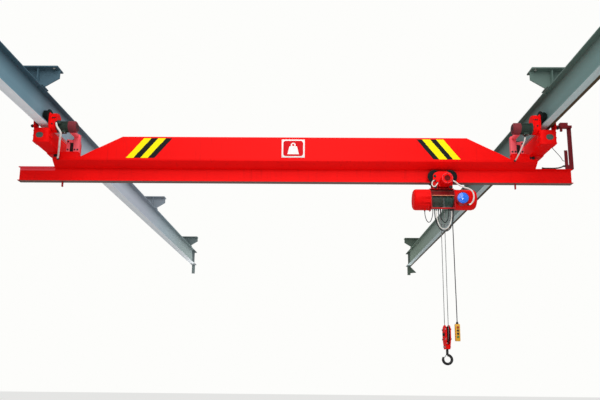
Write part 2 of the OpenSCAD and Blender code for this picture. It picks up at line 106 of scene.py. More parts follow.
# %% [markdown]
# Every colour is written as an sRGB hex value, the way a paint card gives it, and turned to the
# linear values that the shaders use. Materials are built with one helper that adds a node, sets
# its values and joins its inputs, so that a recipe reads as a list of steps.

# %% Colour and node helpers
def srgb(code):
    """A hex colour as linear red, green, blue and full alpha."""
    parts = [int(code[i:i + 2], 16) / 255 for i in (1, 3, 5)]
    return [c / 12.92 if c <= 0.04045 else ((c + 0.055) / 1.055) ** 2.4 for c in parts] + [1.0]


def connect(tree, node, **inputs):
    """Fills inputs, each with a number, a hex colour, an output, or a node, for its first live output."""
    for key, value in inputs.items():
        socket = node.inputs[int(key[1:]) if key[0] == "_" else key.replace("_", " ")]
        if isinstance(value, bpy.types.Node):
            value = next(output for output in value.outputs if output.enabled)
        if isinstance(value, bpy.types.NodeSocket):
            tree.links.new(value, socket)
        else:
            socket.default_value = srgb(value) if isinstance(value, str) else value


def add(tree, kind, settings=(), stops=(), **inputs):
    """Adds a shader node with its settings, inputs and, on a colour ramp, (place, colour) stops."""
    node = tree.nodes.new("ShaderNode" + kind)
    for key, value in dict(settings).items():
        setattr(node, key, value)
    if stops:
        elements = node.color_ramp.elements
        while len(elements) < len(stops):
            elements.new(0.5)
        for element, (place, code) in zip(elements, stops):
            element.position, element.color = place, srgb(code)
    connect(tree, node, **inputs)
    return node


def new_material(name, **surface):
    """A material with one Principled shader; the values given are the same all over the surface."""
    material = bpy.data.materials.new(name)
    material.use_nodes = True
    tree = material.node_tree
    shader = tree.nodes["Principled BSDF"]
    connect(tree, shader, **surface)
    return material, tree, shader, add(tree, "TexCoord").outputs["Object"]


print("pure red in linear light", srgb("#ff0000")[:3])

# %% [markdown]
# Enamel paint on structural steel is brushed or sprayed over a primer. It has a soft gloss, a faint
# orange peel, and after some years dust on what faces up. The recipe mixes two close tones with a
# slow noise for the coats, lays dust by the surface normal, and bumps the surface with a fine noise.
# Orange peel is about 2 mm across, too fine to see from the floor, so it is drawn at 12 mm.

# %% Enamel recipe
RUN_STAIN, DUST = "#8a5a50", "#b9b0a2"


def enamel(name, coat, shade, dusty=0.35, roughness=0.6, grime=0.25, shine=0.12):
    material, tree, shader, place = new_material(name, Roughness=roughness, Specular_IOR_Level=shine)
    slow = add(tree, "TexNoise", Vector=place, Scale=3.2, Detail=4.0)
    coats = add(tree, "ValToRGB", stops=[(0.3, coat), (0.75, shade)], Fac=slow)
    streak = add(tree, "Mapping", Vector=place, Scale=(26.0, 26.0, 2.2))
    runs = add(tree, "TexNoise", Vector=streak, Scale=1.0, Detail=3.0)
    stain = add(tree, "MapRange", _0=runs, _1=0.58, _2=0.85, _4=grime)
    soiled = add(tree, "Mix", {"data_type": "RGBA", "blend_type": "MULTIPLY"},
                 Factor=stain, _6=coats, _7=RUN_STAIN)
    normal = add(tree, "NewGeometry").outputs["Normal"]
    facing = add(tree, "SeparateXYZ", Vector=normal)
    upward = add(tree, "MapRange", _0=facing.outputs["Z"], _1=0.6, _2=1.0, _4=dusty)
    patchy = add(tree, "TexNoise", Vector=place, Scale=14.0, Detail=5.0)
    fallen = add(tree, "Math", {"operation": "MULTIPLY"}, _0=upward, _1=patchy)
    dusted = add(tree, "Mix", {"data_type": "RGBA"}, Factor=fallen, _6=soiled, _7=DUST)
    peel = add(tree, "TexNoise", Vector=place, Scale=85.0, Detail=2.0)
    bump = add(tree, "Bump", Strength=0.12, Distance=0.0006, Height=peel)
    connect(tree, shader, Base_Color=dusted, Normal=bump)
    return material


# Alkyd enamel, sprayed signal red: the girder, carriages and hoist
red_enamel = enamel("red_enamel", "#fb0402", "#f20303", grime=0.1)
# The same enamel where it is thinner and sootier: stop plates, cap ring, frame behind the drum
dark_red_enamel = enamel("dark_red_enamel", "#c10a10", "#990a10", roughness=0.45, grime=0.5, shine=0.25)
# The same enamel darkened as painted shade, with heavy run stains: the cover over the drum and the disc in a
# fan opening
shaded_red_enamel = enamel("shaded_red_enamel", "#8a1218", "#5c1a16", grime=0.6)
# The same enamel made paler as a painted highlight on the rim of a fan cowl
highlight_red_enamel = enamel("highlight_red_enamel", "#f8464e", "#ea3a44", grime=0.1)
# Pale paint along a folded edge, a painted highlight
rubbed_primer = enamel("rubbed_primer", "#ff9f7d", "#f0805f", grime=0.2)
# Grey-green machine enamel over mill scale: runway beams, hangers and stops
runway_enamel = enamel("runway_enamel", "#667a7d", "#485b5f", grime=0.6, dusty=0.5, shine=0.15)
# Maroon machine paint on the travel motors' fan cowls, sooty on the ribs
motor_enamel = enamel("motor_enamel", "#933a40", "#64242b", roughness=0.5, grime=0.4, shine=0.15)
# Red lead primer gone pink in the light: the two posts beside each motor
primer_pink = enamel("primer_pink", "#ff7680", "#fc5c66", grime=0.15, shine=0.1)
# Maroon paint on the collector, brushed by hand
collector_enamel = enamel("collector_enamel", "#8a1620", "#6a1119", roughness=0.5, grime=0.5, shine=0.25)
print("enamels", [m.name for m in bpy.data.materials if "enamel" in m.name or "primer" in m.name])

# %% [markdown]
# ## Cables that hang from the hoist
#
# A round PVC or rubber cable is a fixed length that hangs under its own weight. Its jacket is
# extruded, so it is smooth with a dull gloss and a little dust. Each cable is a Bezier curve through
# the route's points, with automatic handles and a round bevel. The pendant cable carries the push
# button box; the loops run from clip to clip under the hoist's front rail.

# %% Cable jackets
def jacket(name, colour, dust, roughness):
    material, tree, shader, place = new_material(name, Roughness=roughness, IOR=1.48)
    patches = add(tree, "TexNoise", Vector=place, Scale=22.0, Detail=4.0)
    tone = add(tree, "ValToRGB", stops=[(0.4, colour), (0.8, dust)], Fac=patches)
    fine = add(tree, "TexNoise", Vector=place, Scale=260.0, Detail=2.0)
    bump = add(tree, "Bump", Strength=0.15, Distance=0.0003, Height=fine)
    connect(tree, shader, Base_Color=tone, Normal=bump)
    return material


# Extruded PVC, black, with pale dust
black_jacket = jacket("black_pvc_jacket", "#17191b", "#3c3f40", 0.5)
# Extruded rubber, grey
grey_jacket = jacket("grey_rubber_jacket", "#6d7172", "#8e908d", 0.6)
# Extruded PVC, white gone cream
white_jacket = jacket("white_pvc_jacket", "#efe9e2", "#cfc3b4", 0.45)
# Rubber gone brown: the collector's lead
brown_jacket = jacket("brown_rubber_jacket", "#3c2418", "#5a3a2a", 0.6)
# Moulded rubber, grey green: the plugs of the carriage boxes
plug_rubber = jacket("grey_green_plug_rubber", "#40544b", "#56665d", 0.7)
# Moulded rubber: glands, strain reliefs and grommets
gland_rubber = jacket("moulded_gland_rubber", "#141414", "#2b2b2a", 0.65)
print("jackets", [m.name for m in bpy.data.materials if "jacket" in m.name or "rubber" in m.name])

# %% Tubes and cables
def tube(name, points, radius, material, body, roundness, curved=False):
    """A round wire or cable through points, with its radius in millimetres."""
    curve = bpy.data.curves.new(name, "CURVE")
    curve.dimensions = "3D"
    curve.bevel_depth = radius / 1000
    curve.bevel_resolution = roundness
    curve.resolution_u = 6
    curve.use_fill_caps = curved
    spline = curve.splines.new("BEZIER" if curved else "POLY")
    beads = spline.bezier_points if curved else spline.points
    beads.add(len(points) - 1)
    for bead, point in zip(beads, points):
        bead.co = point if curved else (*point, 1.0)
        if curved:
            bead.handle_left_type = bead.handle_right_type = "AUTO"
    piece = new_object(name, curve)
    curve.materials.append(material)
    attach(piece, body)
    return piece, spline


def cable(name, route, diameter, material, node):
    """A round cable through the route's points, which replaces the plain solid of the frame."""
    start = at if body_of_node[node] == "bridge" else on_trolley
    points = [start(*point) for point in route]
    piece, spline = tube(name, points, diameter / 2, material, body_of_node[node], 3, curved=True)
    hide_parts(node)
    print(name, round(spline.calc_length(), 3))
    return piece, spline.calc_length(), points[0]


print("cables start from", on_trolley(0, 0, 0), "and", at(0, 0, 0))

# %% Hanging cables
def under_rail(*route):
    """A loop's points, all in the plane of the clips on the front rail."""
    return [(x, -134, z) for x, z in route]


PENDANT = [(112, -66, -1005), (112, -66, -1060), (113, -67, -1190), (114, -68, -1330),
           (115, -69, -1480), (116, -69, -1630), (117, -70, -1790), (118, -70, -1950), (120, -70, -2110),
           (121, -70, -2250), (122, -70, -2360), (122, -70, -2430), (122, -70, -2480)]
WIDE = under_rail((-134, -1005), (-134, -1035), (-133, -1085), (-127, -1140), (-113, -1195), (-90, -1246),
                  (-57, -1284), (-19, -1302), (19, -1300), (53, -1276), (79, -1234), (97, -1180),
                  (106, -1125), (110, -1080), (110, -1035), (110, -1005))
WHITE = under_rail((-112, -1005), (-112, -1040), (-110, -1095), (-102, -1155), (-84, -1215), (-56, -1260),
                   (-18, -1276), (20, -1268), (52, -1230), (74, -1170), (87, -1100), (90, -1045),
                   (90, -1005))
MIDDLE = under_rail((-86, -1005), (-86, -1035), (-84, -1080), (-76, -1130), (-61, -1180), (-38, -1220),
                    (-10, -1236), (18, -1228), (41, -1196), (57, -1150), (67, -1100), (71, -1060),
                    (72, -1030), (72, -1005))
INNER = under_rail((-60, -1005), (-60, -1040), (-57, -1085), (-47, -1130), (-31, -1168), (-8, -1188),
                   (14, -1178), (31, -1145), (42, -1100), (49, -1050), (50, -1005))
SMALL = [(-245, -40, -1000), (-245, -40, -1018), (-245, -42, -1045), (-242, -48, -1080),
         (-235, -58, -1120), (-223, -72, -1155), (-207, -88, -1174), (-190, -104, -1168),
         (-175, -118, -1138), (-165, -128, -1098), (-159, -133, -1056), (-158, -134, -1025),
         (-158, -134, -1005)]
HANGING = (("pendant_cable", PENDANT, 12, black_jacket, "black_jacket", "medium"),
           ("wide_loop", WIDE, 14, black_jacket, "black_jacket", "limp"),
           ("white_loop", WHITE, 12, white_jacket, "lead_jacket", "limp"),
           ("middle_loop", MIDDLE, 14, grey_jacket, "grey_jacket", "limp"),
           ("inner_loop", INNER, 12, black_jacket, "black_jacket", "limp"),
           ("small_loop", SMALL, 10, black_jacket, "black_jacket", "limp"))
for node, route, size, material, slot, stiffness in HANGING:
    cord, length, root = cable(node + "_jacket", route, size, material, node)

# %% [markdown]
# Short leads are clipped between two housings: from each drive motor to the girder, along the
# beam's top flange from the collector, and from the trolley motor and the girder down to the hoist.
# They are made in the same way, and each end has a tapered rubber strain relief.

# %% Clipped leads
MOTOR_LEAD = [(-115, -82, -600), (-115, -96, -600), (-127, -110, -606), (-145, -124, -624),
              (-157, -134, -652), (-155, -140, -684), (-137, -142, -700), (-113, -142, -692),
              (-95, -140, -670), (-85, -136, -652), (-84, -130, -642), (-84, -116, -642)]
HOIST_LEAD = [(100, -128, -613), (117, -128, -613), (147, -140, -634), (195, -166, -686),
              (255, -184, -724), (325, -192, -752), (361, -192, -792), (373, -187, -848),
              (368, -179, -892), (352, -167, -926), (326, -155, -946), (306, -151, -948),
              (290, -151, -948)]
LEFT_LEAD = [(-3042, -526, 10), (-3052, -526, 9), (-3056, -531, -10), (-3040, -534, -58),
             (-3010, -528, -102), (-3002, -510, -128), (-3014, -480, -162), (-3035, -440, -198),
             (-3067, -370, -240), (-3109, -280, -277), (-3147, -200, -312), (-3164, -172, -332),
             (-3170, -158, -338), (-3170, -140, -338)]
RIGHT_LEAD = [(2985, -440, -99), (2985, -440, -117), (2982, -420, -166), (2974, -370, -214),
              (2962, -300, -268), (2952, -230, -308), (2947, -180, -330), (2946, -158, -337),
              (2946, -140, -337)]
BEAM_LEAD = [(3345, -36, -402), (3370, -36, -402), (3440, -38, -403), (3520, -40, -402),
             (3580, -43, -394), (3620, -46, -380), (3638, -47, -374), (3650, -47, -374)]
POST_LEAD = [(3342, -300, -185), (3358, -300, -185), (3400, -262, -203), (3580, -100, -276),
             (3634, -47, -301), (3650, -47, -301)]
for name, route, size, material, node in (
        ("motor_lead_jacket", MOTOR_LEAD, 16, white_jacket, "trolley_leads"),
        ("hoist_lead_jacket", HOIST_LEAD, 20, white_jacket, "trolley_leads"),
        ("left_drive_lead_jacket", LEFT_LEAD, 26, white_jacket, "bridge_leads"),
        ("right_drive_lead_jacket", RIGHT_LEAD, 18, white_jacket, "bridge_leads"),
        ("collector_lead_jacket", BEAM_LEAD, 18, brown_jacket, "bridge_leads"),
        ("post_lead_jacket", POST_LEAD, 8, black_jacket, "bridge_leads")):
    cable(name, route, size, material, node)[0]

# %% [markdown]
# ## Small tools for modelling
#
# The operators of the edit mode work on what is selected, so every step starts from nothing
# selected. A finished piece has its place in its mesh and its object at the origin, like the
# frame's own nodes, so that a pattern on Object coordinates stays put.

# %% Selecting and settling
def pick_only(*pieces):
    bpy.ops.object.select_all(action="DESELECT")
    for piece in pieces:
        piece.select_set(True)
    bpy.context.view_layer.objects.active = pieces[0]


def edit_all(piece):
    """Opens a piece's mesh with everything selected."""
    pick_only(piece)
    bpy.ops.object.mode_set(mode="EDIT")
    bpy.ops.mesh.select_all(action="SELECT")


def settle(piece):
    """Moves the object's place, turn and size into its mesh."""
    pick_only(piece)
    bpy.ops.object.transform_apply(location=True, rotation=True, scale=True)
    return piece


def soften(piece, width, segments=2, angle=38):
    """Rounds the sharp edges by so many millimetres."""
    modifier = piece.modifiers.new("softened_edges", "BEVEL")
    modifier.width = width / 1000
    modifier.segments = segments
    modifier.limit_method = "ANGLE"
    modifier.angle_limit = math.radians(angle)
    modifier.use_clamp_overlap = True
    pick_only(piece)
    bpy.ops.object.modifier_apply(modifier=modifier.name)
    return piece


def finish_piece(piece, name, material, body, smooth=35):
    """Names a settled piece, paints it and lets it ride on a body."""
    settle(piece)
    piece.name = piece.data.name = name
    piece.data.materials.clear()
    piece.data.materials.append(material)
    pick_only(piece)
    bpy.ops.object.shade_smooth_by_angle(angle=math.radians(smooth))
    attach(piece, body)
    return piece


def gather(pieces):
    """Joins pieces into the first one."""
    pick_only(*pieces)
    if len(pieces) > 1:
        bpy.ops.object.join()
    return bpy.context.view_layer.objects.active


def slab(low, high, width=1.5):
    """A plate or block between two corners, with softened edges."""
    low, high = Vector(low), Vector(high)
    bpy.ops.mesh.primitive_cube_add(size=1, location=(low + high) / 2)
    piece = bpy.context.active_object
    piece.scale = high - low
    settle(piece)
    return soften(piece, width) if width else piece


def aimed(place, axis):
    """The turn and move that bring a piece made along Z to a place, along an axis."""
    return Matrix.Translation(place) @ Vector(axis).to_track_quat("Z", "Y").to_matrix().to_4x4()


def turned(profile, centre, axis, steps=48):
    """A turned shape: (distance along the axis, radius) points in millimetres, spun about the axis."""
    mesh = bpy.data.meshes.new("turned")
    points = [(p[1] / 1000, 0, p[0] / 1000) for p in profile]
    mesh.from_pydata(points, [(i, i + 1) for i in range(len(points) - 1)], [])
    piece = new_object("turned", mesh)
    edit_all(piece)
    bpy.ops.mesh.spin(steps=steps, angle=math.tau, center=(0, 0, 0), axis=(0, 0, 1))
    bpy.ops.mesh.select_all(action="SELECT")
    bpy.ops.mesh.remove_doubles(threshold=0.00002)
    bpy.ops.mesh.normals_make_consistent(inside=False)
    bpy.ops.object.mode_set(mode="OBJECT")
    piece.matrix_world = aimed(centre, axis)
    return settle(piece)


def copies(master, places):
    """One copy of a small master piece for each (place, axis), all joined into one piece."""
    made = []
    for place, axis in places:
        piece = master.copy()
        piece.data = master.data.copy()
        bpy.context.scene.collection.objects.link(piece)
        piece.matrix_world = aimed(place, axis)
        made.append(settle(piece))
    bpy.data.objects.remove(master)
    return gather(made)


print("tools ready")

# %% [markdown]
# ## The steel, painted
#
# The frame's nodes are exact but their edges are knife sharp and their round faces are flat facets.
# Real plate has a small radius on every edge, and paint rounds it further. So each node gets a
# dressed copy: its loose triangles are merged, flat faces joined up, edges softened by a
# millimetre or two, and round faces shaded smooth. The copy stands for the node.

# %% Dressing a node
def dressed(node, material, edge=1.5, smooth=35):
    mesh = frame["nodes"][node].data.copy()
    piece = new_object(node + "_painted", mesh)
    edit_all(piece)
    bpy.ops.mesh.remove_doubles(threshold=0.00001)
    bpy.ops.mesh.dissolve_limited(angle_limit=math.radians(0.6))
    bpy.ops.object.mode_set(mode="OBJECT")
    if edge:
        soften(piece, edge)
    finish_piece(piece, node + "_painted", material, body_of_node[node], smooth)
    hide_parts(node)
    return piece


# %% [markdown]
# Some paint changes by place on the piece. Three helpers serve all of it: one gives the surface's
# place and the way it faces, one multiplies tests into a mask, and one lays a colour over what the
# material already shows, as far as a mask says.

# %% Masks and overspray
SIGNS = {">": "GREATER_THAN", "<": "LESS_THAN"}


def place_and_facing(tree):
    """The X, Y and Z of the surface's place, and of the way it faces."""
    place = add(tree, "TexCoord").outputs["Object"]
    normal = add(tree, "NewGeometry").outputs["Normal"]
    return [add(tree, "SeparateXYZ", Vector=vector).outputs for vector in (place, normal)]


def where(tree, mask, *tests):
    """Narrows a mask, or the whole surface, to where each (value, sign, limit) holds."""
    for value, sign, limit in tests:
        held = add(tree, "Math", {"operation": SIGNS[sign]}, _0=value, _1=limit)
        mask = add(tree, "Math", {"operation": "MULTIPLY"}, _0=mask, _1=held) if mask else held
    return mask


def overspray(material, mask, colour):
    """Lays a colour over what a material already shows, as far as the mask says."""
    tree, shader = material.node_tree, material.node_tree.nodes["Principled BSDF"]
    shown = shader.inputs["Base Color"].links[0].from_socket
    mixed = add(tree, "Mix", {"data_type": "RGBA"}, Factor=mask, _6=shown, _7=colour)
    connect(tree, shader, Base_Color=mixed)


print("tests for masks", list(SIGNS))

# %% [markdown]
# The girder's box wears hazard stripes near both tapers. They are sprayed through a mask, so they
# belong to the paint: a sheared coordinate, X less the slope times the height, runs across the
# stripes, and a ramp with constant steps gives their colours. A second mask keeps them to the
# upright sides, between two heights.

# %% Girder enamel with hazard stripes
STRIPES_LOW, STRIPES_MIDDLE, STRIPES_HIGH = (at(0, 0, z).z for z in (-322, -187, -42))
WOBBLE = 0.012
striped_red_enamel = enamel("striped_red_enamel", "#fb0402", "#f20302")
tree = striped_red_enamel.node_tree
place, facing = place_and_facing(tree)
upright = add(tree, "Math", {"operation": "ABSOLUTE"}, _0=facing["Y"])
sides = where(tree, None, (upright, ">", 0.9), (place["Z"], ">", STRIPES_LOW),
              (place["Z"], "<", STRIPES_HIGH))
coordinates = add(tree, "TexCoord").outputs["Object"]
wobble = add(tree, "TexNoise", Vector=coordinates, Scale=18.0, Detail=2.0)
# slope across the height, first edge and last edge at mid height, and the steps between
for slope, first, last, steps in (
        (0.83, -2147, -1764, ((0.0, "#ffee00"), (0.26, "#16191a"), (0.5, "#ffee00"), (0.767, "#16191a"))),
        (-0.79, 1760, 2120, ((0.0, "#16191a"), (0.2, "#ffee00"), (0.51, "#16191a"), (0.72, "#ffee00")))):
    rise = add(tree, "Math", {"operation": "MULTIPLY_ADD"}, _0=place["Z"], _1=-slope,
               _2=slope * STRIPES_MIDDLE)
    across = add(tree, "Math", {"operation": "ADD"}, _0=place["X"], _1=rise)
    soft = add(tree, "Math", {"operation": "MULTIPLY_ADD"}, _0=wobble, _1=WOBBLE, _2=across)
    span = add(tree, "MapRange", {"clamp": False}, _0=soft, _1=at(first, 0, 0).x + WOBBLE / 2,
               _2=at(last, 0, 0).x + WOBBLE / 2)
    stripe = add(tree, "ValToRGB", stops=steps, Fac=span)
    stripe.color_ramp.interpolation = "CONSTANT"
    overspray(striped_red_enamel, where(tree, sides, (span, ">", 0.0), (span, "<", 1.0)), stripe)
print("stripes between heights", STRIPES_LOW, STRIPES_HIGH)

# %% [markdown]
# The lower beam's flange faces the floor. It was never painted as well as the sides, and rope grease and soot
# darken it; it also lies in shade, so what faces down there is painted grey brown, partly dirt and partly
# painted shade.

# %% Beam enamel with a grey brown underside
beam_enamel = enamel("beam_red_enamel", "#fb0402", "#f20302")
tree = beam_enamel.node_tree
place, facing = place_and_facing(tree)
# Dirt and painted shade: what faces down on the lower flange turns grey brown
downward = add(tree, "MapRange", _0=facing["Z"], _1=-0.3, _2=-0.9)
overspray(beam_enamel, where(tree, downward, (place["Z"], "<", at(0, 0, -608).z)), "#77625a")
# The left end is paler pink above the lower flange
rubbed = where(tree, None, (place["X"], "<", at(-3262, 0, 0).x), (place["Z"], ">", at(0, 0, -458).z))
overspray(beam_enamel, rubbed, "#ff5560")
print("beam enamel nodes", len(tree.nodes))

# %% [markdown]
# The runway beams are long, and their colour changes by place as painted light: the left one is painted
# palest in its middle bays, and the right one stays grey-green as painted shade. Both are darker under the
# top flange, partly soot and partly painted shade. The lowest faces are painted pale, as light from the
# floor, and the right beam has a brown stripe along its outer lower edge. At that distance the peel would
# only sparkle, so it is made faint.

# %% Runway enamel by place
tree = runway_enamel.node_tree
place, facing = place_and_facing(tree)
on_right = where(tree, None, (place["X"], ">", at(0, 0, 0).x))


def by_side(left, right):
    """One colour on the left beam and another on the right."""
    return add(tree, "Mix", {"data_type": "RGBA"}, Factor=on_right, _6=left, _7=right)


# Painted light: each beam's colour runs paler and darker along its length, by where light falls on it
along = add(tree, "MapRange", _0=place["Y"], _1=at(0, -1500, 0).y, _2=at(0, 9500, 0).y)
left_beam, right_beam = (add(tree, "ValToRGB", stops=stops, Fac=along) for stops in (
    ((0.05, "#7297a6"), (0.33, "#dbe3ed"), (0.52, "#ccd3de"), (0.68, "#b2c3ca"), (0.88, "#98a7a4")),
    ((0.05, "#6f8d89"), (0.37, "#6d7a78"), (0.66, "#86958a"), (0.88, "#6a7a68"))))
overspray(runway_enamel, 0.85, by_side(left_beam, right_beam))
# Darker under the top flange, soot and painted shade, strongest at the near end
under_flange = add(tree, "MapRange", _0=place["Z"], _1=at(0, 0, 180).z, _2=at(0, 0, 383).z, _4=0.75)
lit = add(tree, "MapRange", _0=place["Y"], _1=at(0, 0, 0).y, _2=at(0, 6000, 0).y, _3=1.0, _4=0.45)
soot_and_shade = add(tree, "Math", {"operation": "MULTIPLY"}, _0=under_flange, _1=lit)
overspray(runway_enamel, soot_and_shade, by_side("#28424f", "#55665c"))
# Painted light: the lowest faces are made pale, as if lit from the floor
downward = add(tree, "MapRange", _0=facing["Z"], _1=-0.3, _2=-0.9)
lowest = where(tree, downward, (place["Z"], "<", at(0, 0, 30).z))
overspray(runway_enamel, lowest, by_side("#f4f9fc", "#c4d4d4"))
# A brown stripe along the right beam's outer lower edge
overspray(runway_enamel, where(tree, lowest, (place["X"], ">", at(3274, 0, 0).x)), "#54432b")
peel = tree.nodes["Principled BSDF"].inputs["Normal"].links[0].from_node
peel.inputs["Strength"].default_value = 0.02
print("runway enamel nodes", len(tree.nodes))

# %% [markdown]
# A travel motor's cooling ribs catch soot, and its smooth fan cowl stays maroon. The ribs lie outside
# the cowl, so the distance from the girder's middle tells them apart.

# %% Sooty ribs
RIBS_START = 2924
tree = motor_enamel.node_tree
place, facing = place_and_facing(tree)
from_middle = add(tree, "Math", {"operation": "SUBTRACT"}, _0=place["X"], _1=at(0, 0, 0).x)
reach = add(tree, "Math", {"operation": "ABSOLUTE"}, _0=from_middle)
overspray(motor_enamel, where(tree, None, (reach, ">", RIBS_START / 1000)), "#37443c")
print("ribs are sooty from", RIBS_START)

# %% [markdown]
# Bare steel parts differ by how they were made. Wheels are cast and turned, then run dull and greasy, and
# their iron is darkened further as painted shade. Fasteners are zinc plated or blackened. The drum is
# greased. Metals keep the default IOR, with the colour carrying the look.

# %% Metals
def metal(name, colour, spots, roughness, metallic=1.0, grain=40.0):
    material, tree, shader, place = new_material(name, Roughness=roughness, Metallic=metallic)
    patches = add(tree, "TexNoise", Vector=place, Scale=grain, Detail=4.0)
    tone = add(tree, "ValToRGB", stops=[(0.35, colour), (0.75, spots)], Fac=patches)
    connect(tree, shader, Base_Color=tone)
    rough = add(tree, "MapRange", _0=patches, _1=0.3, _2=0.7,
                _3=roughness - 0.08, _4=roughness + 0.12)
    connect(tree, shader, Roughness=rough)
    bump = add(tree, "Bump", Strength=0.2, Distance=0.0003, Height=patches)
    connect(tree, shader, Normal=bump)
    return material


# Cast iron wheels, dull and greasy, darkened further as painted shade
shaded_wheel_iron = metal("greasy_shaded_cast_iron", "#0b100f", "#182220", 0.6, 0.0)
shaded_wheel_iron.node_tree.nodes["Principled BSDF"].inputs["Specular IOR Level"].default_value = 0.12
# Zinc plated fasteners
zinc_plate = metal("zinc_plated_steel", "#b9bcb8", "#9a9c96", 0.35)
# Blackened high strength bolts
black_bolt = metal("blackened_bolt_steel", "#26282a", "#3d3a38", 0.45, 0.7)
# Galvanised wire
rope_wire = metal("galvanised_wire", "#9a9c98", "#77797a", 0.4, 0.9, 160.0)
# The same wire in the drum's grease
greased_wire = metal("greased_wire", "#56685f", "#6a5848", 0.5, 0.3, 60.0)
# Greased drum, grey green
drum_iron = metal("greased_drum_iron", "#38544c", "#4c665c", 0.45, 0.4)
# Forged hook, black scale with bare wear
hook_steel = metal("forged_black_steel", "#232425", "#41403e", 0.45, 0.7)

# %% [markdown]
# Moulded and printed parts: the blue cap is glossy ABS, the push button box is yellow ABS, and the
# rating plate is white enamel on aluminium with a red field.

# %% Plastics and plates
def moulded(name, colour, shade, roughness, coat=0.3):
    material, tree, shader, place = new_material(name, Roughness=roughness, IOR=1.53, Coat_Weight=coat)
    patches = add(tree, "TexNoise", Vector=place, Scale=30.0, Detail=3.0)
    tone = add(tree, "ValToRGB", stops=[(0.35, colour), (0.8, shade)], Fac=patches)
    connect(tree, shader, Base_Color=tone)
    grain = add(tree, "TexNoise", Vector=place, Scale=300.0, Detail=1.0)
    bump = add(tree, "Bump", Strength=0.1, Distance=0.0002, Height=grain)
    connect(tree, shader, Normal=bump)
    return material


blue_abs = moulded("gloss_blue_abs", "#1f7eff", "#176cf2", 0.18, 1.0)
yellow_abs = moulded("yellow_abs", "#f2b418", "#dfa013", 0.45)
white_plate = moulded("white_plate_enamel", "#f6f1ec", "#e6ded6", 0.4)
red_plate = enamel("red_plate_enamel", "#dd0914", "#cd0a14", grime=0.15)
black_button = moulded("black_button_abs", "#1c1c1e", "#2b2b2d", 0.4)
green_button = moulded("green_button_abs", "#1f8f4a", "#1a7d40", 0.4)
red_button = moulded("red_button_abs", "#d3231c", "#b81c16", 0.4)

# %% Paint the frame
PAINT = (
    (runway_enamel, "runway_paint", {
        "left_runway_beam": 2.0, "right_runway_beam": 2.0, "hangers": 1.5, "end_stops": 1.5}),
    (beam_enamel, "red_paint", {"girder_beam": 2.0}),
    (striped_red_enamel, "red_paint", {"girder_box": 3.0}),
    (dark_red_enamel, "stop_paint", {"trolley_stops": 1.0}),
    (white_plate, "plate", {"rating_plate": 0.8}),
    (red_enamel, "red_paint", {"saddles": 1.0, "carriage_boxes": 4.0, "wheel_plates": 0.8}),
    (collector_enamel, "collector_paint", {"collector_post": 0.8, "collector_arm": 2.0}),
    # The wheels' iron is darkened as painted shade
    (shaded_wheel_iron, "wheel_steel", {
        "left_front_wheels": 1.5, "left_rear_wheels": 1.5, "right_front_wheels": 1.5,
        "right_rear_wheels": 1.5, "trolley_left_wheels": 1.5, "trolley_right_wheels": 1.5}),
    (red_enamel, "red_paint", {"trolley_plates": 1.0, "trolley_motor": 2.0}),
    (dark_red_enamel, "red_paint", {"hoist_frame": 1.0}),
    # The drum cover is darkened as painted shade
    (shaded_red_enamel, "red_paint", {"drum_cover": 0.5}),
    (red_enamel, "red_paint", {"gearbox_cover": 0, "hoist_housing": 0}),
    (drum_iron, "drum_steel", {"rope_guide": 0.6}),
    (dark_red_enamel, "stop_paint", {"cap_ring": 2.0}),
    (blue_abs, "cap_plastic", {"blue_cap": 2.0}),
    (red_enamel, "red_paint", {"hook_block": 2.0}),
    (hook_steel, "hook_steel", {"hook": 0.8}),
)
for material, slot, edges in PAINT:
    for node, edge in edges.items():
        print(node, len(dressed(node, material, edge).data.polygons), "faces")

# %% [markdown]
# ## Travel drives
#
# Each travel drive is a gear case on a near inner wheel plate, with a small motor flanged to it. The
# frame holds their plain solids. Here they get the shape of their castings: a stepped case as wide as
# the one in the picture, a body with cooling ribs, a smooth fan cowl, and a foot that two posts hold.
# X is counted outwards from the girder's middle, so one list of sizes makes both sides.

# %% Gear cases, motors and posts
MOTOR_Y, MOTOR_Z, CASE_Z = -430, -12, 92


def side_slab(s, low, high, width):
    """A block between two corners on the left (-1) or the right (1) side of the girder."""
    ends = at(s * low[0], low[1], low[2]), at(s * high[0], high[1], high[2])
    return slab([min(pair) for pair in zip(*ends)], [max(pair) for pair in zip(*ends)], width)


def cooling_ribs(centre, axis, start, end, radius, count=24, tall=7, thick=3.4):
    """Ribs along a motor's body, on a circle so many millimetres wide, from start to end on its axis."""
    turn = aimed(centre, axis)
    made = []
    for k in range(count):
        bpy.ops.mesh.primitive_cube_add(size=0.001)
        rib = bpy.context.active_object
        rib.matrix_world = (turn @ Matrix.Rotation(math.tau * k / count, 4, "Z")
                            @ Matrix.Translation((0, radius / 1000, (start + end) / 2000))
                            @ Matrix.Diagonal((thick, tall, end - start, 1)))
        made.append(settle(rib))
    return gather(made)


